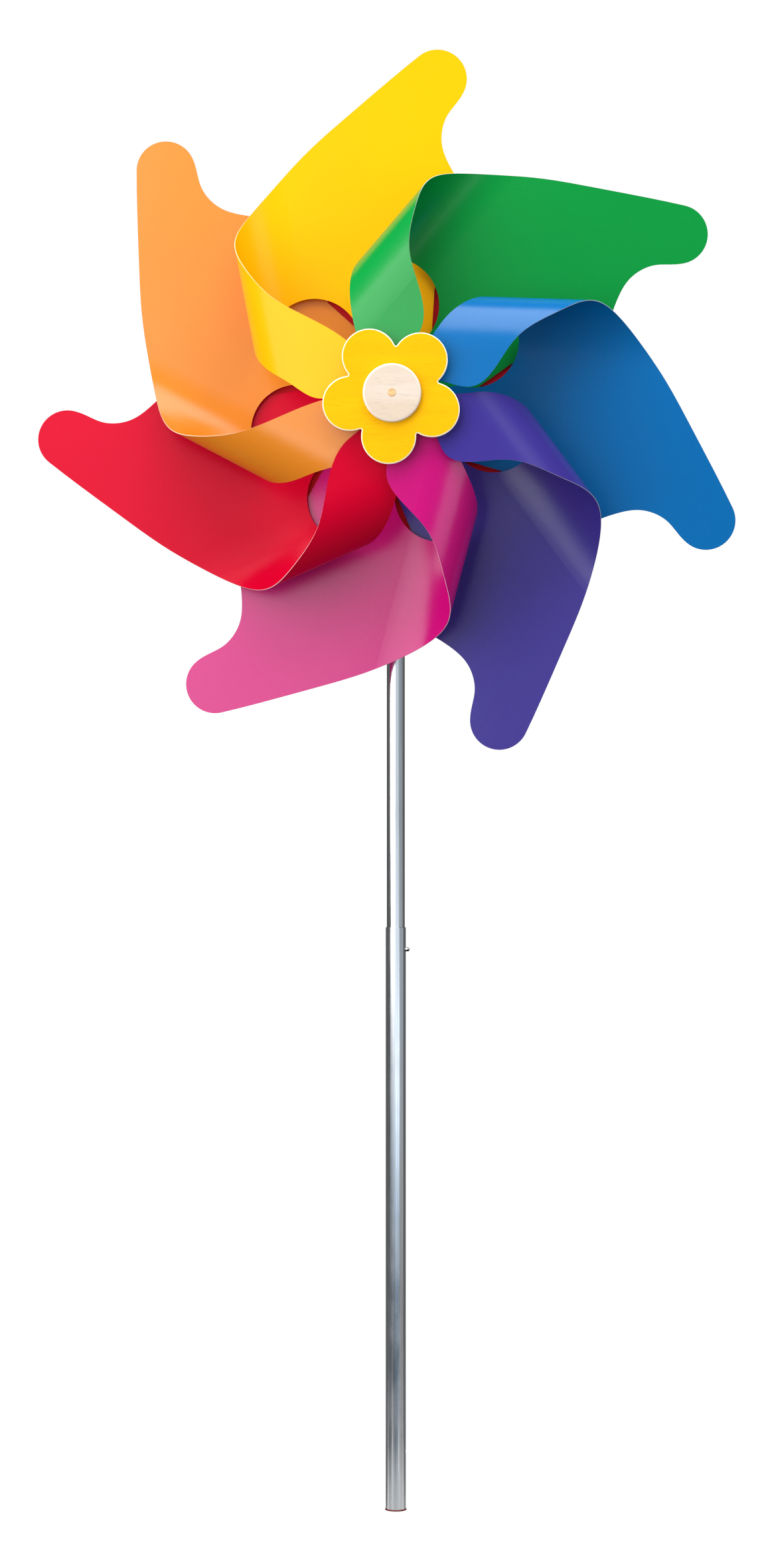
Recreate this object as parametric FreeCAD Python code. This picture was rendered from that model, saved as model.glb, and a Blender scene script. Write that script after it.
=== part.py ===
import FreeCAD, Part
import math
import os

# Seven-vane wind spinner on a telescoping mast.
# Axes: +X right, +Y away from the viewer, +Z up, origin under the foot.
# Each vane is one sheet, screwed to the back of the rotor, rolled forward
# and screwed again behind the flower.
# Depths along the axle are given as distances in front of the mast axis.

V = FreeCAD.Vector
V2 = FreeCAD.Base.Vector2d
FLAT = Part.Geom2d

# --- mast -------------------------------------------------------------
AXLE_HEIGHT = 1096.0
LOWER_OD = 20.0
LOWER_ID = 18.3
LOWER_TOP = 580.0
UPPER_OD = 18.0
UPPER_ID = 16.0
UPPER_BOTTOM = 534.0
UPPER_ABOVE_AXLE = 20.0
PLUG_FLANGE_OD = 21.5
PLUG_FLANGE_THICKNESS = 1.2
PLUG_DEPTH = 20.0
BUTTON_HEIGHT = 558.0
BUTTON_LOW_HEIGHT = 58.0
BUTTON_DIAMETER = 4.0
BUTTON_HOLE = 4.4
BUTTON_REACH = 13.8
CLIP_WIDTH = 6.0
CLIP_THICKNESS = 0.5
CLIP_RADIUS = 7.3
CLIP_BEND_HEIGHT = 592.0
CLIP_FOOT = 549.0

# --- axle and hub stack, distances in front of the mast axis ------------
AXLE_DIAMETER = 8.0
AXLE_FRONT = 153.4
AXLE_BACK = -27.0
BUSH_BORE = 8.2
BUSH_OD = 11.0
BUSH_FLANGE_OD = 15.0
BUSH_FACE = 10.5
BUSH_INNER_END = 2.0
BEAD_GAP = 0.2
BEAD_OD = 18.0
DISC_BACK = 19.5
DISC_THICKNESS = 4.0
DISC_DIAMETER = 250.0
ROOT_PLATE_THICKNESS = 2.2
ROOT_PLATE_DIAMETER = 68.0
SPOOL_OD = 22.0
FRONT_HUB_BACK = 128.2
FRONT_HUB_THICKNESS = 4.0
FRONT_HUB_DIAMETER = 76.0
FLOWER_BACK = 142.0
FLOWER_THICKNESS = 5.0
FLOWER_ROUNDING = 1.3
PETALS = 5
PETAL_RADIUS = 26.3
PETAL_CENTRE = 41.5
PETAL_FIRST_ANGLE = 49.5
CENTRE_DISC_DIAMETER = 56.0
CENTRE_DISC_THICKNESS = 6.0
CENTRE_DISC_ROUNDING = 2.4
PIN_DIAMETER = 2.0

# --- vanes: flat sheet pattern, (along the arm, across the arm) ---------
VANE_COLOURS = ["green", "yellow", "orange", "red", "magenta", "purple", "blue"]
SHEET = 0.6
ARM_ANGLE = 47.2
FOLD_SKEW = 2.2
ROOT_SCREW = (27.0, -5.0)
ARM_EDGE_ANGLE = -12.2
ARM_EDGE_END = (109.0, -56.0)
ARM_EDGE_LENGTH = 45.0
TAIL_CORNER = (198.0, -104.5)
NOTCH = [(224.0, -90.5), (250.0, -84.8), (276.0, -93.5)]
TIP = (314.5, -90.3)
TIP_RADIUS = 29.0
TIP_START_ANGLE = -125.0
TIP_END_ANGLE = 30.0
OUTER_EDGE = [(293.0, 0.0), (261.0, 48.5), (208.5, 112.0), (149.5, 176.0), (107.5, 208.0)]
INNER_EDGE = [(84.0, 133.5), (42.0, 183.5), (21.0, 208.0)]
CUTOUT = (71.5, 69.3)
CUTOUT_RADIUS = 45.8
CUTOUT_START_ANGLE = -100.0
CUTOUT_END_ANGLE = 40.0
TAB_RADIUS = 12.0
STRAP_AXIS_POINT = (67.5, 208.0)
STRAP_ANGLE = 135.0
STRAP_HALF_WIDTH = 29.0
STRAP_NECK = 30.0
STRAP_SCREW_RADIUS = 26.0

# --- vanes: how the sheet is folded -------------------------------------
PANEL_DEPTH = 28.0
PANEL_TILT = 3.0
STRAP_TILT = 4.7
STRAP_RISE = 108.0
ROLL_START = 55.0
ROLL_EVENNESS = 0.5
HANG = 14.5
HANG_ANGLE = 226.0
PROFILE_STEP = 6.0
PROFILE_BEFORE = 150.0
PROFILE_AFTER = 120.0
PROFILE_LEFT = -250.0
PROFILE_RIGHT = 450.0
WALL_REACH = 3.0

# --- screws and washers -------------------------------------------------
SCREW_DIAMETER = 3.0
SCREW_HEAD = 7.0
SCREW_HEAD_HEIGHT = 2.0
SCREW_LENGTH = 5.2
WASHER_OD = 9.0
SHEET_HOLE = 3.4
WASHER_SINK = 0.2


# --- small helpers --------------------------------------------------------
def tube(outer, inner, z0, z1):
    """Upright tube between two heights."""
    body = Part.makeCylinder(outer / 2, z1 - z0, V(0, 0, z0))
    if inner:
        body = body.cut(Part.makeCylinder(inner / 2, z1 - z0 + 2, V(0, 0, z0 - 1)))
    return body


def on_axle(diameter, back, front, bore=AXLE_DIAMETER):
    """Round piece on the axle between two distances in front of the mast."""
    start = V(0, -back, AXLE_HEIGHT)
    body = Part.makeCylinder(diameter / 2, front - back, start, V(0, -1, 0))
    if bore:
        hole = Part.makeCylinder(bore / 2, front - back + 2, start + V(0, 1, 0), V(0, -1, 0))
        body = body.cut(hole)
    return body


def round_rims(body, radius, size):
    """Rounds the circular edges of one radius."""
    rims = []
    for edge in body.Edges:
        curve = edge.Curve
        if isinstance(curve, Part.Circle) and abs(curve.Radius - radius) < 0.01:
            rims.append(edge)
    return body.makeFillet(size, rims)


def polar(radius, degrees):
    """Pair (radius cos, radius sin)."""
    angle = math.radians(degrees)
    return (radius * math.cos(angle), radius * math.sin(angle))


def step_from(point, distance, degrees):
    """Flat point a distance away in a direction."""
    step = polar(distance, degrees)
    return (point[0] + step[0], point[1] + step[1])


# --- mast pieces ------------------------------------------------------------
def lower_tube():
    body = tube(LOWER_OD, LOWER_ID, PLUG_FLANGE_THICKNESS, LOWER_TOP)
    body = round_rims(body, LOWER_OD / 2, 0.3)
    for height in (BUTTON_HEIGHT, BUTTON_LOW_HEIGHT):
        hole = Part.makeCylinder(BUTTON_HOLE / 2, 8, V(5, 0, height), V(1, 0, 0))
        body = body.cut(hole)
    return body


def foot_plug():
    flange = Part.makeCylinder(PLUG_FLANGE_OD / 2, PLUG_FLANGE_THICKNESS)
    flange = round_rims(flange, PLUG_FLANGE_OD / 2, 0.4)
    sleeve = tube(LOWER_ID, LOWER_ID - 4, PLUG_FLANGE_THICKNESS - 0.2,
                  PLUG_FLANGE_THICKNESS + PLUG_DEPTH)
    rib = Part.makeBox(LOWER_ID - 3, 1.6, PLUG_DEPTH - 4)
    rib.translate(V(-(LOWER_ID - 3) / 2, -0.8, PLUG_FLANGE_THICKNESS - 0.2))
    cross = rib.copy()
    cross.rotate(V(0, 0, 0), V(0, 0, 1), 90)
    return flange.fuse([sleeve, rib, cross]).removeSplitter()


def upper_tube():
    top = AXLE_HEIGHT + UPPER_ABOVE_AXLE
    body = tube(UPPER_OD, UPPER_ID, UPPER_BOTTOM, top)
    axle_hole = Part.makeCylinder(BUSH_OD / 2, 30, V(0, 15, AXLE_HEIGHT), V(0, -1, 0))
    button_hole = Part.makeCylinder(BUTTON_HOLE / 2, 8, V(5, 0, BUTTON_HEIGHT), V(1, 0, 0))
    return body.cut(axle_hole).cut(button_hole)


def mast_cap():
    top = AXLE_HEIGHT + UPPER_ABOVE_AXLE
    dome_radius = UPPER_OD / 2 + 0.4
    dome = Part.makeCylinder(dome_radius, 3.0, V(0, 0, top))
    dome = dome.makeFillet(2.0, [edge for edge in dome.Edges
                                 if edge.BoundBox.ZMin > top + 2.9])
    insert = tube(UPPER_ID, UPPER_ID - 3, top - 8, top + 0.2)
    return dome.fuse(insert).removeSplitter()


def axle_bush(side):
    """Flanged bush saddled on the tube: side is 1 in front, -1 behind."""
    towards = V(0, -side, 0)
    barrel = Part.makeCylinder(BUSH_OD / 2, BUSH_FACE - BUSH_INNER_END,
                               V(0, -side * BUSH_INNER_END, AXLE_HEIGHT), towards)
    flange = Part.makeCylinder(BUSH_FLANGE_OD / 2, BUSH_FACE - 4.0,
                               V(0, -side * 4.0, AXLE_HEIGHT), towards)
    mast = Part.makeCylinder(UPPER_OD / 2, 40, V(0, 0, AXLE_HEIGHT - 20))
    body = barrel.fuse(flange.cut(mast))
    bore = Part.makeCylinder(BUSH_BORE / 2, 2 * BUSH_FACE,
                             V(0, side * BUSH_FACE, AXLE_HEIGHT), towards)
    bore.translate(V(0, -side * BUSH_FACE, 0))
    return body.cut(bore).removeSplitter()


def snap_clip():
    """Bent spring strip inside the upper tube with its round button."""
    inner = CLIP_RADIUS - CLIP_THICKNESS
    half = CLIP_WIDTH / 2
    bend = Part.makeCylinder(CLIP_RADIUS, CLIP_WIDTH, V(0, half, CLIP_BEND_HEIGHT), V(0, -1, 0))
    bend = bend.cut(Part.makeCylinder(inner, CLIP_WIDTH + 2,
                                      V(0, half + 1, CLIP_BEND_HEIGHT), V(0, -1, 0)))
    bend = bend.cut(Part.makeBox(40, 40, 40, V(-20, -20, CLIP_BEND_HEIGHT - 40)))
    strip = bend
    for left in (inner, -CLIP_RADIUS):
        leg = Part.makeBox(CLIP_THICKNESS, CLIP_WIDTH, CLIP_BEND_HEIGHT - CLIP_FOOT,
                           V(left, -half, CLIP_FOOT))
        strip = strip.fuse(leg)
    button = Part.makeCylinder(BUTTON_DIAMETER / 2, BUTTON_REACH - inner - 0.2,
                               V(inner + 0.2, 0, BUTTON_HEIGHT), V(1, 0, 0))
    tip = [edge for edge in button.Edges if edge.BoundBox.XMin > BUTTON_REACH - 0.1]
    button = button.makeFillet(BUTTON_DIAMETER / 2 - 0.2, tip)
    return strip.fuse(button).removeSplitter()


# --- rotor: axle and hub ------------------------------------------------------
def axle_dowel():
    body = on_axle(AXLE_DIAMETER, AXLE_BACK, AXLE_FRONT, bore=0)
    body = body.makeChamfer(0.5, [edge for edge in body.Edges
                                  if isinstance(edge.Curve, Part.Circle)])
    return body.cut(rear_pin())


def rear_pin():
    height = AXLE_HEIGHT - BEAD_OD / 2 + 0.5
    depth = -(BUSH_FACE + BEAD_GAP + 7.0)
    return Part.makeCylinder(PIN_DIAMETER / 2, BEAD_OD - 1, V(0, -depth, height))


def rear_ball():
    front = -(BUSH_FACE + BEAD_GAP)
    body = on_axle(BEAD_OD, front - 14.0, front)
    body = round_rims(body, BEAD_OD / 2, 4.5)
    return body.cut(rear_pin())


def thrust_bead():
    body = on_axle(BEAD_OD, BUSH_FACE + BEAD_GAP, DISC_BACK)
    return round_rims(body, BEAD_OD / 2, 3.0)


def back_disc():
    body = on_axle(DISC_DIAMETER, DISC_BACK, DISC_BACK + DISC_THICKNESS)
    return round_rims(body, DISC_DIAMETER / 2, 0.6).cut(root_shanks())


def root_plate():
    back = DISC_BACK + DISC_THICKNESS
    body = on_axle(ROOT_PLATE_DIAMETER, back, back + ROOT_PLATE_THICKNESS)
    return body.cut(root_shanks()).cut(root_washers())


def spool():
    back = DISC_BACK + DISC_THICKNESS + ROOT_PLATE_THICKNESS
    body = on_axle(SPOOL_OD, back, FRONT_HUB_BACK)
    return round_rims(body, SPOOL_OD / 2, 1.0)


def front_hub():
    body = on_axle(FRONT_HUB_DIAMETER, FRONT_HUB_BACK, FRONT_HUB_BACK + FRONT_HUB_THICKNESS)
    return body.cut(strap_shanks()).cut(strap_washers())


def front_bead():
    body = on_axle(BEAD_OD, FRONT_HUB_BACK + FRONT_HUB_THICKNESS, FLOWER_BACK)
    return round_rims(body, BEAD_OD / 2, 2.0)


def flower():
    front = FLOWER_BACK + FLOWER_THICKNESS
    body = on_axle(2 * PETAL_CENTRE, FLOWER_BACK, front, bore=0)
    pieces = []
    for petal in range(PETALS):
        across, up = polar(PETAL_CENTRE, PETAL_FIRST_ANGLE + petal * 360 / PETALS)
        centre = V(across, -FLOWER_BACK, AXLE_HEIGHT + up)
        pieces.append(Part.makeCylinder(PETAL_RADIUS, FLOWER_THICKNESS, centre, V(0, -1, 0)))
    body = body.fuse(pieces).removeSplitter()
    uprights = [edge for edge in body.Edges
                if isinstance(edge.Curve, Part.Line)
                and abs(edge.tangentAt(edge.FirstParameter).y) > 0.9
                and edge_radius(edge) < PETAL_CENTRE + 5]
    if uprights:
        body = body.makeFillet(1.5, uprights)
    rims = [edge for edge in body.Edges if edge.BoundBox.YLength < 0.01]
    body = body.makeFillet(FLOWER_ROUNDING, rims)
    bore = Part.makeCylinder(AXLE_DIAMETER / 2, 20, V(0, 1 - FLOWER_BACK, AXLE_HEIGHT), V(0, -1, 0))
    return body.cut(bore)


def edge_radius(edge):
    """Distance of an edge from the axle."""
    point = edge.Vertexes[0].Point
    return math.hypot(point.x, point.z - AXLE_HEIGHT)


def centre_disc():
    back = FLOWER_BACK + FLOWER_THICKNESS
    body = on_axle(CENTRE_DISC_DIAMETER, back, back + CENTRE_DISC_THICKNESS)
    rim = [edge for edge in body.Edges
           if edge.BoundBox.YMax < -(back + CENTRE_DISC_THICKNESS) + 0.01
           and edge_radius(edge) > CENTRE_DISC_DIAMETER / 2 - 0.1]
    return body.makeFillet(CENTRE_DISC_ROUNDING, rim)


# --- rotor: vanes ---------------------------------------------------------------
def fold_direction(number):
    """Angle of the fold of one vane, seen from the front."""
    return ARM_ANGLE + FOLD_SKEW + number * 360 / len(VANE_COLOURS)


def hang(number):
    """How far the roll of one vane hangs out beyond the mean."""
    return HANG * math.cos(math.radians(fold_direction(number) + 90 - HANG_ANGLE))


def turning(share):
    """Angle of the sheet after a share of the roll."""
    eased = 3 * share ** 2 - 2 * share ** 3
    done = (1 - ROLL_EVENNESS) * share + ROLL_EVENNESS * eased
    return math.radians(PANEL_TILT + (180 - STRAP_TILT - PANEL_TILT) * done)


def roll_shape(share, steps=200):
    """Run and rise of a roll of unit length up to a share of it."""
    run = 0.0
    rise = 0.0
    for step in range(steps):
        angle = turning(share * (step + 0.5) / steps)
        run += math.cos(angle) * share / steps
        rise += math.sin(angle) * share / steps
    return run, rise


def roll_length(start):
    """Length of roll that brings the strap to its height over the hub."""
    tilt = math.radians(PANEL_TILT)
    fall = math.tan(math.radians(STRAP_TILT))
    run, rise = roll_shape(1.0)
    flat_part = start * (math.sin(tilt) + math.cos(tilt) * fall)
    return (STRAP_RISE - flat_part) / (rise + run * fall)


def sheet_point(length, start):
    """Side view of the folded sheet: (across, forward) at a length along it."""
    tilt = math.radians(PANEL_TILT)
    if length <= start:
        return length * math.cos(tilt), length * math.sin(tilt)
    roll = roll_length(start)
    share = min((length - start) / roll, 1.0)
    run, rise = roll_shape(share)
    across = start * math.cos(tilt) + roll * run
    forward = start * math.sin(tilt) + roll * rise
    beyond = length - start - roll
    if beyond > 0:
        fall = math.radians(STRAP_TILT)
        across -= beyond * math.cos(fall)
        forward += beyond * math.sin(fall)
    return across, forward


def strap_screw_length(start):
    """Length along the sheet at which the strap reaches its screw."""
    end = start + roll_length(start)
    across = sheet_point(end, start)[0]
    target = polar(STRAP_SCREW_RADIUS, 45)[1]
    return end + (across - target) / math.cos(math.radians(STRAP_TILT))


def strap_screw_flat(start):
    """Strap screw in the flat pattern."""
    along = polar(STRAP_SCREW_RADIUS, 45)[0]
    length = strap_screw_length(start)
    skew = math.radians(FOLD_SKEW)
    return (along * math.cos(skew) - length * math.sin(skew),
            along * math.sin(skew) + length * math.cos(skew))


def to_sheet(point):
    """Flat pattern point as (length across the fold, distance along the fold)."""
    skew = math.radians(FOLD_SKEW)
    along = point[0] * math.cos(skew) + point[1] * math.sin(skew)
    across = -point[0] * math.sin(skew) + point[1] * math.cos(skew)
    return V2(across + PROFILE_BEFORE, along)


def direction(degrees):
    """Flat pattern direction on the sheet."""
    start = to_sheet((0, 0))
    end = to_sheet(polar(1, degrees))
    return V2(end.x - start.x, end.y - start.y)


def sheet_spline(points, first, last):
    """Smooth edge through flat points with end directions in degrees."""
    curve = FLAT.BSplineCurve2d()
    curve.interpolate(Points=[to_sheet(point) for point in points],
                      InitialTangent=direction(first), FinalTangent=direction(last))
    return curve


def sheet_line(start, end):
    return FLAT.Line2dSegment(to_sheet(start), to_sheet(end))


def sheet_arc(centre, radius, first, last):
    middle = (first + last) / 2
    return FLAT.ArcOfCircle2d(to_sheet(step_from(centre, radius, first)),
                              to_sheet(step_from(centre, radius, middle)),
                              to_sheet(step_from(centre, radius, last)))


def further_along_strap(point, other):
    """Distance from one flat point to another in the strap's direction."""
    ahead = polar(1, STRAP_ANGLE)
    return (other[0] - point[0]) * ahead[0] + (other[1] - point[1]) * ahead[1]


def vane_outline(start):
    """Edges of the flat sheet, counter-clockwise from the root tab."""
    screw = strap_screw_flat(start)
    reach = further_along_strap(STRAP_AXIS_POINT, screw) - STRAP_NECK
    neck = step_from(STRAP_AXIS_POINT, reach, STRAP_ANGLE)
    neck_outer = step_from(neck, STRAP_HALF_WIDTH, STRAP_ANGLE - 90)
    neck_inner = step_from(neck, STRAP_HALF_WIDTH, STRAP_ANGLE + 90)
    outer = [point for point in OUTER_EDGE if further_along_strap(point, neck_outer) > 8]
    inner = [point for point in INNER_EDGE if further_along_strap(point, neck_inner) > 8]
    arm_start = step_from(ARM_EDGE_END, -ARM_EDGE_LENGTH, ARM_EDGE_ANGLE)
    tip_start = step_from(TIP, TIP_RADIUS, TIP_START_ANGLE)
    tip_end = step_from(TIP, TIP_RADIUS, TIP_END_ANGLE)
    tab_outer = step_from(screw, TAB_RADIUS, STRAP_ANGLE - 90)
    tab_inner = step_from(screw, TAB_RADIUS, STRAP_ANGLE + 90)
    cutout_end = step_from(CUTOUT, CUTOUT_RADIUS, CUTOUT_END_ANGLE)
    cutout_start = step_from(CUTOUT, CUTOUT_RADIUS, CUTOUT_START_ANGLE)
    root_lower = step_from(ROOT_SCREW, TAB_RADIUS, 262)
    root_upper = step_from(ROOT_SCREW, TAB_RADIUS, 100)
    return [
        sheet_arc(ROOT_SCREW, TAB_RADIUS, 100, 262),
        sheet_spline([root_lower, arm_start], 352, ARM_EDGE_ANGLE),
        sheet_line(arm_start, ARM_EDGE_END),
        sheet_line(ARM_EDGE_END, TAIL_CORNER),
        sheet_spline([TAIL_CORNER] + NOTCH + [tip_start], 40, TIP_START_ANGLE + 90),
        sheet_arc(TIP, TIP_RADIUS, TIP_START_ANGLE, TIP_END_ANGLE),
        sheet_spline([tip_end] + outer + [neck_outer, tab_outer],
                     TIP_END_ANGLE + 90, STRAP_ANGLE),
        sheet_arc(screw, TAB_RADIUS, STRAP_ANGLE - 90, STRAP_ANGLE + 90),
        sheet_spline([tab_inner, neck_inner] + inner[::-1] + [cutout_end],
                     STRAP_ANGLE + 180, CUTOUT_END_ANGLE - 90),
        sheet_arc(CUTOUT, CUTOUT_RADIUS, CUTOUT_END_ANGLE, CUTOUT_START_ANGLE),
        sheet_spline([cutout_start, root_upper], CUTOUT_START_ANGLE - 90, 190),
    ]


def sheet_heading(length, start):
    """Direction of the folded sheet at a length along it, as an angle from straight across."""
    share = (length - start) / roll_length(start)
    return turning(min(max(share, 0.0), 1.0))


def sheet_surface(start, outside):
    """Folded surface a distance outside the sheet's inner face.

    Its first parameter is the length across the fold, its second the place along the fold.
    """
    length = -PROFILE_BEFORE
    last = strap_screw_length(start) + PROFILE_AFTER
    points = []
    lengths = []
    while length < last:
        across, forward = sheet_point(length, start)
        heading = sheet_heading(length, start)
        across += outside * math.sin(heading)
        forward -= outside * math.cos(heading)
        points.append(V(0, -forward, across))
        lengths.append(length + PROFILE_BEFORE)
        length += PROFILE_STEP
    profile = Part.BSplineCurve()
    profile.interpolate(Points=points, Parameters=lengths)
    poles = [[pole + V(PROFILE_LEFT, 0, 0), pole + V(PROFILE_RIGHT, 0, 0)]
             for pole in profile.getPoles()]
    surface = Part.BSplineSurface()
    surface.buildFromPolesMultsKnots(
        poles, profile.getMultiplicities(), [2, 2], profile.getKnots(),
        [PROFILE_LEFT, PROFILE_RIGHT], False, False, profile.Degree, 1)
    return surface


def crease_wall(length, start):
    """Narrow wall straight through the sheet, along the fold, at a length along it."""
    across, forward = sheet_point(length, start)
    heading = sheet_heading(length, start)
    through = V(0, math.cos(heading), math.sin(heading)) * WALL_REACH
    left = V(PROFILE_LEFT, -forward, across)
    right = V(PROFILE_RIGHT, -forward, across)
    corners = [left - through, right - through, right + through, left + through]
    return Part.Face(Part.makePolygon(corners + corners[:1]))


def part_at_creases(sheet, start):
    """Gives the flat panel, the roll and the flat strap of a sheet their own faces."""
    walls = [crease_wall(length, start) for length in (start, start + roll_length(start))]
    pieces = sheet.generalFuse(walls)[1][0]
    return pieces[0].fuse(pieces[1:]).Solids[0]


def place_vane_piece(shape, number):
    """Moves a piece from the fold's own axes to its place on the rotor."""
    shape.rotate(V(0, 0, 0), V(0, -1, 0), fold_direction(number))
    shape.translate(V(0, -PANEL_DEPTH, AXLE_HEIGHT))
    return shape


def vane(number):
    """One folded sheet: its inner and outer faces and the cut edges between them."""
    start = ROLL_START + hang(number)
    faces = []
    rims = []
    for outside in (0.0, SHEET):
        surface = sheet_surface(start, outside)
        rim = [curve.toShape(surface) for curve in vane_outline(start)]
        faces.append(Part.Face(surface, Part.Wire(rim)))
        rims.append(rim)
    cut_edges = [Part.makeRuledSurface(inner, outer, 1) for inner, outer in zip(*rims)]
    shell = Part.makeShell(faces + cut_edges)
    shell.sewShape()
    sheet = Part.makeSolid(shell)
    if sheet.Volume < 0:
        sheet.reverse()
    for frame in (root_frame(start), strap_frame(start)):
        hole = Part.makeCylinder(SHEET_HOLE / 2, 6, V(0, 0, -3))
        hole.Placement = frame
        sheet = sheet.cut(hole)
    return place_vane_piece(part_at_creases(sheet.Solids[0], start), number)


# --- rotor: screws and washers, drawn along +Z with the sheet at zero --------------
def root_frame(start):
    """Placement on the panel at the root screw, facing forward."""
    spot = to_sheet(ROOT_SCREW)
    across, forward = sheet_point(spot.x - PROFILE_BEFORE, start)
    tilt = math.radians(PANEL_TILT)
    normal = V(0, -math.cos(tilt), -math.sin(tilt))
    return FreeCAD.Placement(V(spot.y, -forward, across), FreeCAD.Rotation(V(0, 0, 1), normal))


def strap_frame(start):
    """Placement on the strap at its screw, facing forward."""
    across, forward = sheet_point(strap_screw_length(start), start)
    fall = math.radians(STRAP_TILT)
    normal = V(0, -math.cos(fall), math.sin(fall))
    along = polar(STRAP_SCREW_RADIUS, 45)[0]
    return FreeCAD.Placement(V(along, -forward, across), FreeCAD.Rotation(V(0, 0, 1), normal))


def screw(head_base):
    """Pan-head screw with a cross slot, its head standing on head_base."""
    head = Part.makeCylinder(SCREW_HEAD / 2, SCREW_HEAD_HEIGHT, V(0, 0, head_base))
    top = [edge for edge in head.Edges if edge.BoundBox.ZMin > head_base + 1]
    head = head.makeFillet(1.2, [edge for edge in top if edge.Closed])
    for slot in (Part.makeBox(4, 0.8, 1), Part.makeBox(0.8, 4, 1)):
        middle = slot.BoundBox.Center
        slot.translate(V(-middle.x, -middle.y, head_base + SCREW_HEAD_HEIGHT - 1.0))
        head = head.cut(slot)
    return head.fuse(shank(head_base)).removeSplitter()


def shank(head_base):
    return Part.makeCylinder(SCREW_DIAMETER / 2, SCREW_LENGTH, V(0, 0, head_base - SCREW_LENGTH))


def washer(top, bottom):
    body = Part.makeCylinder(WASHER_OD / 2, top - bottom, V(0, 0, bottom))
    return body.cut(Part.makeCylinder(SCREW_DIAMETER / 2, top - bottom + 2, V(0, 0, bottom - 1)))


def on_every_vane(piece, frame_of):
    """Seven copies of a small piece, one at the same screw of every vane."""
    copies = []
    for number in range(len(VANE_COLOURS)):
        copy = piece.copy()
        copy.Placement = frame_of(ROLL_START + hang(number))
        copies.append(place_vane_piece(copy, number))
    return Part.makeCompound(copies)


def root_washer_foot():
    """Lower end of a root washer, measured from the panel's front face."""
    behind = root_frame(ROLL_START).Base.y
    plate_front = DISC_BACK + DISC_THICKNESS + ROOT_PLATE_THICKNESS
    return plate_front - WASHER_SINK - PANEL_DEPTH + behind


def strap_washer_foot():
    """Lower end of a strap washer, measured from the strap's inner face."""
    behind = strap_frame(ROLL_START).Base.y
    hub_front = FRONT_HUB_BACK + FRONT_HUB_THICKNESS
    return hub_front - WASHER_SINK - PANEL_DEPTH + behind


def root_shanks():
    return on_every_vane(shank(0), root_frame)


def strap_shanks():
    return on_every_vane(shank(SHEET), strap_frame)


def root_screws():
    return on_every_vane(screw(0), root_frame)


def strap_screws():
    return on_every_vane(screw(SHEET), strap_frame)


def root_washers():
    return on_every_vane(washer(-SHEET, root_washer_foot()), root_frame)


def strap_washers():
    return on_every_vane(washer(0, strap_washer_foot()), strap_frame)


# --- every piece, one file each -------------------------------------------------
def all_pieces():
    pieces = {
        "lower_tube": lower_tube(),
        "foot_plug": foot_plug(),
        "upper_tube": upper_tube(),
        "mast_cap": mast_cap(),
        "front_bush": axle_bush(1),
        "rear_bush": axle_bush(-1),
        "snap_clip": snap_clip(),
        "axle_dowel": axle_dowel(),
        "rear_ball": rear_ball(),
        "rear_pin": rear_pin(),
        "thrust_bead": thrust_bead(),
        "back_disc": back_disc(),
        "root_plate": root_plate(),
        "spool": spool(),
        "front_hub": front_hub(),
        "front_bead": front_bead(),
        "flower": flower(),
        "centre_disc": centre_disc(),
        "root_screws": root_screws(),
        "root_washers": root_washers(),
        "strap_screws": strap_screws(),
        "strap_washers": strap_washers(),
    }
    for number, colour in enumerate(VANE_COLOURS):
        pieces["vane_" + colour] = vane(number)
    return pieces


os.makedirs("parts", exist_ok=True)
for name, shape in all_pieces().items():
    shape.exportStep("parts/" + name + ".step")
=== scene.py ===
import math

import bpy
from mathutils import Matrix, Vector


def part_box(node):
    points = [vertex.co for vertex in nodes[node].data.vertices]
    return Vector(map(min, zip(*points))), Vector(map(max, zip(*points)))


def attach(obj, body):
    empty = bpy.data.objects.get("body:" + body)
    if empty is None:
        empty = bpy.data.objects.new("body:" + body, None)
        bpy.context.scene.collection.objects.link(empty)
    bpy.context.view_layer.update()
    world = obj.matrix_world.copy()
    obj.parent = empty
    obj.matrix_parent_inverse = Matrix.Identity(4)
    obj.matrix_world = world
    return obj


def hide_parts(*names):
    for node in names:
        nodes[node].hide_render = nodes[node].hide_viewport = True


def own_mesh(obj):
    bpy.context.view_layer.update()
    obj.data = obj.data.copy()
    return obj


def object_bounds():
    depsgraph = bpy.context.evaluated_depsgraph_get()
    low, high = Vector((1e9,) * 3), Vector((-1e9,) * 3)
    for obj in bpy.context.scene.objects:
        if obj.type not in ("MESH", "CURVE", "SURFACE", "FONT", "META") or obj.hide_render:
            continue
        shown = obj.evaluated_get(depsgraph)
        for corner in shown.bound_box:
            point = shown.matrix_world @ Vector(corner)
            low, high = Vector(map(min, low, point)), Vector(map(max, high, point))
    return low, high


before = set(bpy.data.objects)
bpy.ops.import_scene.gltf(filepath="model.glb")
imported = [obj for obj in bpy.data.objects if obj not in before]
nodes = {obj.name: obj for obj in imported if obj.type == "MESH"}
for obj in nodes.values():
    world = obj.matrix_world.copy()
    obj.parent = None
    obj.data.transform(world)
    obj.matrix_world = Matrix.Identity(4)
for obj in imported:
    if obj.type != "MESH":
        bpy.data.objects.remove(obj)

cad_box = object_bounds()

# Wind spinner with seven rolled plastic vanes on a telescoping metal pole.
# All lengths are in metres and all places come from the frame.

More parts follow.
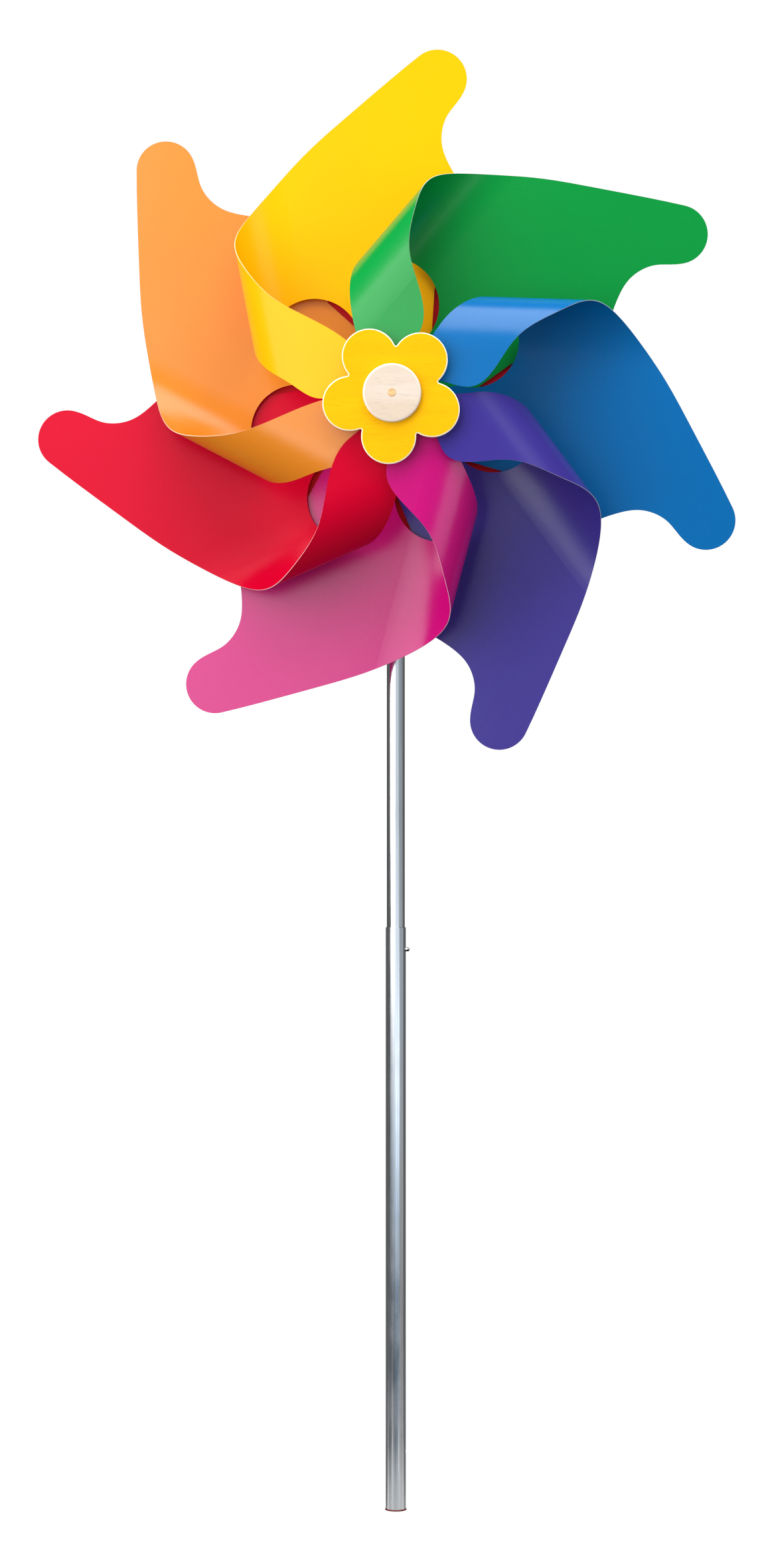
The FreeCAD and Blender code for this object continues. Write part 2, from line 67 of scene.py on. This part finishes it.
# Name, colour and gloss of each vane, in the order that they stand around the axle.
VANES = [
    ("green", (0.0, 0.262, 0.040), 0.5),
    ("yellow", (0.96, 0.455, 0.0), 0.2),
    ("orange", (0.690, 0.210, 0.010), 0.6),
    ("red", (0.560, 0.0, 0.022), 0.1),
    ("magenta", (0.560, 0.001, 0.180), 0.6),
    ("purple", (0.045, 0.030, 0.260), 0.45),
    ("blue", (0.0, 0.130, 0.385), 0.4),
]
FIRST_FOLD_ANGLE = 49.4


# --- materials ------------------------------------------------------------
class Surface:
    """One procedural material, with short ways to add and join its nodes."""

    def __init__(self, name, roughness, metallic=0.0, ior=1.5):
        self.material = bpy.data.materials.new(name)
        self.material.use_nodes = True
        self.tree = self.material.node_tree
        self.shader = self.tree.nodes["Principled BSDF"]
        self.shader.inputs["Roughness"].default_value = roughness
        self.shader.inputs["Metallic"].default_value = metallic
        self.shader.inputs["IOR"].default_value = ior
        coordinates = self.add("ShaderNodeTexCoord")
        self.place = coordinates.outputs["Object"]
        self.facing = coordinates.outputs["Normal"]
        self.height = None

    def add(self, kind, **settings):
        node = self.tree.nodes.new(kind)
        for key, value in settings.items():
            setattr(node, key, value)
        return node

    def join(self, source, target):
        if hasattr(source, "links"):
            self.tree.links.new(source, target)
        else:
            target.default_value = source

    def stretched(self, scale, turn=(0, 0, 0)):
        """Object coordinates turned and then scaled along each axis."""
        node = self.add("ShaderNodeMapping")
        node.inputs["Scale"].default_value = scale
        node.inputs["Rotation"].default_value = [math.radians(angle) for angle in turn]
        self.join(self.place, node.inputs["Vector"])
        return node.outputs["Vector"]

    def noise(self, where, scale, detail=3.0, roughness=0.5, distortion=0.0):
        node = self.add("ShaderNodeTexNoise")
        self.join(where, node.inputs["Vector"])
        node.inputs["Scale"].default_value = scale
        node.inputs["Detail"].default_value = detail
        node.inputs["Roughness"].default_value = roughness
        node.inputs["Distortion"].default_value = distortion
        return node.outputs["Fac"]

    def spread(self, value, low, high, new_low=0.0, new_high=1.0):
        """Maps a range of a value onto another range."""
        node = self.add("ShaderNodeMapRange")
        self.join(value, node.inputs["Value"])
        node.inputs["From Min"].default_value = low
        node.inputs["From Max"].default_value = high
        node.inputs["To Min"].default_value = new_low
        node.inputs["To Max"].default_value = new_high
        return node.outputs["Result"]

    def mix(self, share, first, second):
        node = self.add("ShaderNodeMix", data_type="RGBA")
        self.join(share, node.inputs["Factor"])
        self.join(first if hasattr(first, "links") else (*first, 1.0), node.inputs["A"])
        self.join(second if hasattr(second, "links") else (*second, 1.0), node.inputs["B"])
        return node.outputs["Result"]

    def math(self, operation, first, second=0.0):
        node = self.add("ShaderNodeMath", operation=operation)
        self.join(first, node.inputs[0])
        self.join(second, node.inputs[1])
        return node.outputs["Value"]

    def along(self, vector, direction):
        """Length of a vector along a direction."""
        node = self.add("ShaderNodeVectorMath", operation="DOT_PRODUCT")
        self.join(vector, node.inputs[0])
        node.inputs[1].default_value = direction
        return node.outputs["Value"]

    def facing_along(self, direction, low, high):
        """1 where the surface faces along a direction, either way, else 0."""
        return self.spread(self.math("ABSOLUTE", self.along(self.facing, direction)), low, high)

    def colour(self, value):
        self.join(value, self.shader.inputs["Base Color"])

    def roughness(self, value):
        self.join(value, self.shader.inputs["Roughness"])

    def bump(self, height, depth):
        """Adds relief of a depth in metres on top of what is there."""
        node = self.add("ShaderNodeBump")
        node.inputs["Distance"].default_value = depth
        self.join(height, node.inputs["Height"])
        if self.height is not None:
            self.join(self.height, node.inputs["Normal"])
        self.height = node.outputs["Normal"]
        self.join(self.height, self.shader.inputs["Normal"])


def lighter(colour, share):
    return tuple(part + (1.0 - part) * share for part in colour)


def darker(colour, share):
    return tuple(part * (1.0 - share) for part in colour)


def vane_plastic(name, colour, gloss, fold_angle):
    """Satin polypropylene sheet: fine pressed grain, soft waves, cut edges drawn lighter, partly
    their own paler colour and partly a painted highlight.
    """
    surface = Surface(name, 0.25)
    surface.shader.inputs["Specular IOR Level"].default_value = gloss
    fold = (math.cos(math.radians(fold_angle)), 0.0, math.sin(math.radians(fold_angle)))
    cloud = surface.noise(surface.place, 9.0, detail=2.0)
    speck = surface.noise(surface.place, 1300.0, detail=2.0)
    tint = surface.mix(surface.spread(cloud, 0.3, 0.7), darker(colour, 0.07), colour)
    tint = surface.mix(surface.spread(speck, 0.3, 0.7), darker(colour, 0.025), tint)
    # Rims lighter than the faces: partly the sheet's paler cut edge, partly a painted highlight
    # along every edge.
    pale_edge_and_highlight = surface.facing_along(fold, 0.35, 0.6)
    surface.colour(surface.mix(pale_edge_and_highlight, tint, lighter(colour, 0.45)))
    surface.roughness(surface.spread(speck, 0.2, 0.8, 0.21, 0.29))
    surface.bump(surface.noise(surface.place, 5.0, detail=1.0), 0.003)
    surface.bump(surface.noise(surface.place, 1000.0, detail=3.0), 0.00004)
    return surface.material


def drawn_aluminium():
    """Drawn tube: lines along the pole, a few scratches, dull patches all along it."""
    surface = Surface("drawn aluminium", 0.24, metallic=1.0)
    lines = surface.noise(surface.stretched((1.0, 1.0, 0.004)), 1400.0, detail=2.0)
    dull = surface.noise(surface.stretched((1.0, 1.0, 0.35)), 55.0, detail=4.0)
    scratch = surface.noise(surface.stretched((1.0, 1.0, 0.03)), 420.0, detail=1.0)
    marks = surface.spread(scratch, 0.70, 0.76)
    tint = surface.mix(surface.spread(lines, 0.35, 0.65), (0.74, 0.76, 0.79), (0.88, 0.89, 0.90))
    tint = surface.mix(surface.spread(dull, 0.5, 0.75, 0.0, 0.2), tint, (0.66, 0.69, 0.74))
    surface.colour(surface.mix(surface.math("MULTIPLY", marks, 0.5), tint, (0.95, 0.95, 0.95)))
    surface.roughness(surface.spread(dull, 0.35, 0.75, 0.13, 0.24))
    surface.bump(lines, 0.00002)
    surface.bump(marks, 0.00002)
    return surface.material


def wood(name, pale, dark, grain_turn=(0, 0, 0), edge=None, roughness=0.5, gloss=0.0, rings=1.0):
    """Sanded wood seen on faces square to the axle; edge is the bare ply edge's colour."""
    surface = Surface(name, roughness)
    lengthwise = surface.stretched((0.09, 1.0, 1.0), grain_turn)
    figure = surface.noise(lengthwise, 60.0 * rings, detail=4.0, distortion=0.8)
    pores = surface.noise(lengthwise, 900.0, detail=2.0)
    tint = surface.mix(surface.spread(figure, 0.35, 0.7), pale, dark)
    tint = surface.mix(surface.spread(pores, 0.56, 0.75, 0.0, 0.35), tint, darker(dark, 0.35))
    if edge:
        ply = surface.along(surface.place, (0.0, 1.0, 0.0))
        layer = surface.math("SINE", surface.math("MULTIPLY", ply, 2 * math.pi / 0.0016))
        plies = surface.mix(surface.spread(layer, -0.4, 0.4), edge, darker(edge, 0.35))
        side = surface.mix(surface.facing_along((0.0, 1.0, 0.0), 0.1, 0.3), plies, edge)
        tint = surface.mix(surface.facing_along((0.0, 1.0, 0.0), 0.955, 0.985), side, tint)
    surface.colour(tint)
    surface.shader.inputs["Specular IOR Level"].default_value = 0.08
    surface.shader.inputs["Coat Weight"].default_value = gloss
    surface.shader.inputs["Coat Roughness"].default_value = 0.25
    surface.bump(figure, 0.0001)
    surface.bump(pores, 0.00006)
    return surface.material


def moulded(name, colour, roughness=0.45):
    """Moulded plastic with a faint uneven skin."""
    surface = Surface(name, roughness)
    skin = surface.noise(surface.place, 700.0, detail=3.0)
    cloud = surface.noise(surface.place, 90.0, detail=3.0)
    surface.colour(surface.mix(surface.spread(cloud, 0.3, 0.7), darker(colour, 0.12), colour))
    surface.roughness(surface.spread(skin, 0.2, 0.8, roughness - 0.08, roughness + 0.08))
    surface.bump(skin, 0.00004)
    return surface.material


def bright_metal(name, colour, roughness):
    """Plated or polished steel with fine scuffs."""
    surface = Surface(name, roughness, metallic=1.0)
    scuff = surface.noise(surface.place, 900.0, detail=4.0)
    surface.colour(surface.mix(surface.spread(scuff, 0.3, 0.7), darker(colour, 0.15), colour))
    surface.roughness(surface.spread(scuff, 0.3, 0.7, roughness * 0.7, roughness * 1.3))
    surface.bump(scuff, 0.00001)
    return surface.material


def dress(node, material):
    """Gives a node of the frame its finished material."""
    for place in nodes[node].material_slots:
        place.material = material


aluminium = drawn_aluminium()
nylon = moulded("white nylon", (0.80, 0.79, 0.74))
plated = bright_metal("zinc plate", (0.80, 0.80, 0.78), 0.28)
spring = bright_metal("spring steel", (0.85, 0.85, 0.86), 0.14)
bead = wood("waxed bead", (0.80, 0.58, 0.33), (0.64, 0.42, 0.22), gloss=0.3, roughness=0.4)
plain_ply = wood("plain plywood", (0.85, 0.66, 0.43), (0.72, 0.52, 0.31), edge=(0.74, 0.55, 0.34))
finishes = {
    "lower_tube": aluminium,
    "upper_tube": aluminium,
    "foot_plug": moulded("red foot plug", (0.21, 0.012, 0.008), 0.5),
    "mast_cap": moulded("black cap", (0.012, 0.012, 0.013), 0.42),
    "front_bush": nylon,
    "rear_bush": nylon,
    "root_washers": nylon,
    "strap_washers": nylon,
    "snap_clip": spring,
    "rear_pin": plated,
    "root_screws": plated,
    "strap_screws": plated,
    "thrust_bead": bead,
    "rear_ball": bead,
    "front_bead": bead,
    "axle_dowel": wood("dowel end grain", (0.80, 0.53, 0.27), (0.62, 0.36, 0.16), rings=6.0),
    "spool": wood("turned spool", (0.80, 0.60, 0.38), (0.66, 0.46, 0.26)),
    "root_plate": plain_ply,
    "front_hub": plain_ply,
    "back_disc": wood("red stained plywood", (0.62, 0.012, 0.022), (0.47, 0.006, 0.014),
                      (0, 20, 0), edge=(0.45, 0.05, 0.04), roughness=0.5),
    "flower": wood("yellow painted plywood", (0.86, 0.450, 0.0), (0.82, 0.405, 0.0),
                   (0, 25, 0), edge=(0.95, 0.86, 0.68), roughness=0.55),
    "centre_disc": wood("sanded birch", (0.68, 0.58, 0.49), (0.63, 0.51, 0.40),
                        (0, 65, 0), edge=(0.80, 0.70, 0.60), roughness=0.55),
}
for number, (vane_name, colour, gloss) in enumerate(VANES):
    fold_angle = FIRST_FOLD_ANGLE + number * 360 / len(VANES)
    finishes["vane_" + vane_name] = vane_plastic(vane_name + " sheet", colour, gloss, fold_angle)
for node, material in finishes.items():
    dress(node, material)


# --- snap clip --------------------------------------------------------------
CLIP_WIDTH = 0.006
CLIP_THICKNESS = 0.0005
LEG_STEPS = 12
BEND_STEPS = 24
BUTTON_HEIGHT = 0.558
BUTTON_RADIUS = 0.002
BUTTON_ROUNDING = 0.0018
BUTTON_SIDES = 40
ROUNDING_STEPS = 8


def add_piece(name, points, faces, material):
    """Mesh piece of the object with its finish."""
    mesh = bpy.data.meshes.new(name)
    mesh.from_pydata(points, [], faces)
    mesh.shade_smooth()
    mesh.materials.append(material)
    piece = bpy.data.objects.new(name, mesh)
    bpy.context.scene.collection.objects.link(piece)
    return piece


def button(clip_box):
    """Round-ended pin that stands out of the clip's right leg."""
    tip = clip_box[1].x
    back = -clip_box[0].x - CLIP_THICKNESS / 2
    profile = [(back, 0.0), (back, BUTTON_RADIUS)]
    for step in range(ROUNDING_STEPS + 1):
        turn = math.radians(90 * step / ROUNDING_STEPS)
        profile.append((tip - BUTTON_ROUNDING + BUTTON_ROUNDING * math.sin(turn),
                        BUTTON_RADIUS - BUTTON_ROUNDING + BUTTON_ROUNDING * math.cos(turn)))
    profile.append((tip, 0.0))
    points = []
    for x, radius in profile:
        for side in range(BUTTON_SIDES):
            turn = 2 * math.pi * side / BUTTON_SIDES
            points.append((x, radius * math.cos(turn), BUTTON_HEIGHT + radius * math.sin(turn)))
    faces = []
    for ring in range(len(profile) - 1):
        start = ring * BUTTON_SIDES
        for side in range(BUTTON_SIDES):
            after = (side + 1) % BUTTON_SIDES
            faces.append((start + side, start + after,
                          start + BUTTON_SIDES + after, start + BUTTON_SIDES + side))
    return add_piece("snap_button", points, faces, spring)


def strip(clip_box):
    """Spring strip bent into an upside-down U inside the upper tube."""
    reach = -clip_box[0].x
    foot = clip_box[0].z
    bend = clip_box[1].z - reach
    rise = (bend - foot) / LEG_STEPS
    line = [(reach, foot + rise * step, 1.0, 0.0) for step in range(LEG_STEPS)]
    for step in range(BEND_STEPS + 1):
        turn = math.radians(180 * step / BEND_STEPS)
        line.append((reach * math.cos(turn), bend + reach * math.sin(turn),
                     math.cos(turn), math.sin(turn)))
    line += [(-reach, bend - rise * step, -1.0, 0.0) for step in range(1, LEG_STEPS + 1)]
    points = []
    for x, z, out_x, out_z in line:
        for inset in (0.0, CLIP_THICKNESS):
            for y in (-CLIP_WIDTH / 2, CLIP_WIDTH / 2):
                points.append((x - out_x * inset, y, z - out_z * inset))
    faces = [(0, 1, 3, 2)]
    for row in range(len(line) - 1):
        a, b = 4 * row, 4 * row + 4
        faces += [(a, b, b + 1, a + 1), (a + 2, a + 3, b + 3, b + 2),
                  (a, a + 2, b + 2, b), (a + 1, b + 1, b + 3, a + 3)]
    end = 4 * len(line) - 4
    faces.append((end, end + 2, end + 3, end + 1))
    return add_piece("snap_strip", points, faces, spring)


clip_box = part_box("snap_clip")
pin = button(clip_box)
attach(pin, "clip")
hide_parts("snap_clip")
leaf = strip(clip_box)
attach(leaf, "upper_mast")
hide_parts("snap_clip")
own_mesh(leaf)


# --- studio -----------------------------------------------------------------
ROOM_SEEN = 1.0
ROOM_SHINING = 0.34
ROOM_MIRRORED = 0.02
PANEL_DISTANCE = 2.4
PLAIN = (1.0, 1.0, 1.0)
PALE_SKY = (0.82, 0.91, 1.0)
SKY = (0.62, 0.80, 1.0)
DEEP_SKY = (0.40, 0.67, 1.0)
# Panels that only the metal pole mirrors: two turns in degrees from straight in front,
# bottom and top, level and colour.
POLE_PANELS = [
    (-175, -76, -0.6, 2.3, 0.09, PLAIN),
    (97, 175, -0.6, 2.3, 0.10, PLAIN),
    (-76, -6, 0.62, 2.9, 2.6, PLAIN),
    (-6, 38, 0.62, 2.3, 0.75, PALE_SKY),
    (38, 97, 0.62, 2.3, 0.36, PALE_SKY),
    (-62, -6, 0.36, 0.62, 1.7, PLAIN),
    (-6, 42, 0.36, 0.62, 0.95, PALE_SKY),
    (42, 97, 0.36, 0.62, 0.42, PALE_SKY),
    (-66, -38, 0.12, 0.36, 0.50, PALE_SKY),
    (-38, -6, 0.12, 0.36, 0.85, PALE_SKY),
    (-6, 46, 0.12, 0.36, 1.40, PALE_SKY),
    (46, 97, 0.12, 0.36, 0.42, PALE_SKY),
    (-66, -38, 0.0, 0.12, 0.22, SKY),
    (-38, -6, 0.0, 0.12, 0.50, SKY),
    (-6, 42, 0.0, 0.12, 1.10, SKY),
    (42, 97, -0.10, 0.12, 0.34, PLAIN),
    (-76, -6, -0.10, 0.0, 0.07, SKY),
    (-6, 42, -0.10, 0.0, 0.30, DEEP_SKY),
    (-76, -6, -0.46, -0.10, 0.09, SKY),
    (-6, 42, -0.46, -0.10, 0.14, DEEP_SKY),
    (42, 97, -0.46, -0.10, 0.22, PLAIN),
    (-170, -100, -1.6, -0.54, 0.80, PLAIN),
    (-100, -40, -1.6, -0.46, 0.80, PLAIN),
    (-40, 40, -1.6, -0.45, 0.75, PLAIN),
    (40, 100, -1.6, -0.46, 0.80, PLAIN),
    (100, 170, -1.6, -0.54, 0.80, PLAIN),
]


def softbox(name, place, aim, size, power, colour=PLAIN, lit=None):
    """Rectangular soft light that faces a point and shines on some nodes, or on all."""
    light = bpy.data.lights.new(name, "AREA")
    light.shape = "RECTANGLE"
    light.size, light.size_y = size
    light.energy = power
    light.color = colour
    lamp = bpy.data.objects.new(name, light)
    lamp.location = place
    lamp.rotation_euler = (Vector(aim) - Vector(place)).to_track_quat("-Z", "Y").to_euler()
    bpy.context.scene.collection.objects.link(lamp)
    if lit:
        lamp.light_linking.receiver_collection = lit


def lit_group(name, pieces):
    """Group of objects that a light can be kept to."""
    group = bpy.data.collections.new(name)
    for piece in pieces:
        group.objects.link(piece)
    return group


def upright_panel(name, turn_from, turn_to, bottom, top, level, colour, lit):
    """Upright softbox between two turns from straight in front of the pole, in degrees."""
    middle_turn = math.radians((turn_from + turn_to) / 2)
    half = math.radians((turn_to - turn_from) / 2)
    width = 2 * PANEL_DISTANCE * math.tan(half)
    height = (bottom + top) / 2
    place = (PANEL_DISTANCE * math.sin(middle_turn), -PANEL_DISTANCE * math.cos(middle_turn),
             height)
    power = level * math.pi * width * (top - bottom)
    softbox(name, place, (0, 0, height), (width, top - bottom), power, colour, lit)


def white_room(seen, shining, mirrored):
    """White surroundings that shine less on the object, and least in its gloss, than they look."""
    world = bpy.data.worlds.new("white room")
    bpy.context.scene.world = world
    world.use_nodes = True
    tree = world.node_tree
    background = tree.nodes["Background"]
    background.inputs["Color"].default_value = (1.0, 1.0, 1.0, 1.0)
    path = tree.nodes.new("ShaderNodeLightPath")
    strength = shining
    for ray, level in (("Is Camera Ray", seen), ("Is Glossy Ray", mirrored)):
        choose = tree.nodes.new("ShaderNodeMix")
        tree.links.new(path.outputs[ray], choose.inputs["Factor"])
        choose.inputs["B"].default_value = level
        if isinstance(strength, float):
            choose.inputs["A"].default_value = strength
        else:
            tree.links.new(strength, choose.inputs["A"])
        strength = choose.outputs["Result"]
    tree.links.new(strength, background.inputs["Strength"])


def camera():
    """Level camera in front of the pole, a little to its right."""
    distance = 3.535
    aside = 0.086
    below_middle = 0.002
    turn_left = 1.60
    data = bpy.data.cameras.new("camera")
    data.lens = 81.5
    data.sensor_width = 36.0
    data.clip_end = 100.0
    body = bpy.data.objects.new("camera", data)
    middle = (cad_box[0] + cad_box[1]) / 2
    body.location = (aside, -distance, middle.z - below_middle)
    body.rotation_euler = (math.radians(90), 0.0, math.radians(turn_left))
    bpy.context.scene.collection.objects.link(body)
    bpy.context.scene.camera = body


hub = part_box("flower")
hub_height = (hub[0].z + hub[1].z) / 2
white_room(ROOM_SEEN, ROOM_SHINING, ROOM_MIRRORED)
pole = lit_group("pole", [nodes["lower_tube"], nodes["upper_tube"]])
rest = lit_group("all but the pole", [node for name, node in nodes.items()
                                      if name not in ("lower_tube", "upper_tube")] + [pin, leaf])
softbox("top softbox", (0, -0.8, hub_height + 1.9), (0, 0, hub_height - 0.2), (2.6, 2.0), 64)
upright_panel("left softbox", -76, -6, 0.13, 2.9, 2.6, PLAIN, rest)
upright_panel("right softbox", 38, 70, 0.4, 2.6, 1.4, (0.88, 0.94, 1.0), rest)
upright_panel("back softbox", 150, 210, 0.3, 1.9, 1.6, PLAIN, rest)
for number, (turn_from, turn_to, bottom, top, level, colour) in enumerate(POLE_PANELS):
    upright_panel("pole panel %d" % number, turn_from, turn_to, bottom, top, level, colour, pole)
camera()
bpy.context.scene.view_settings.view_transform = "Standard"
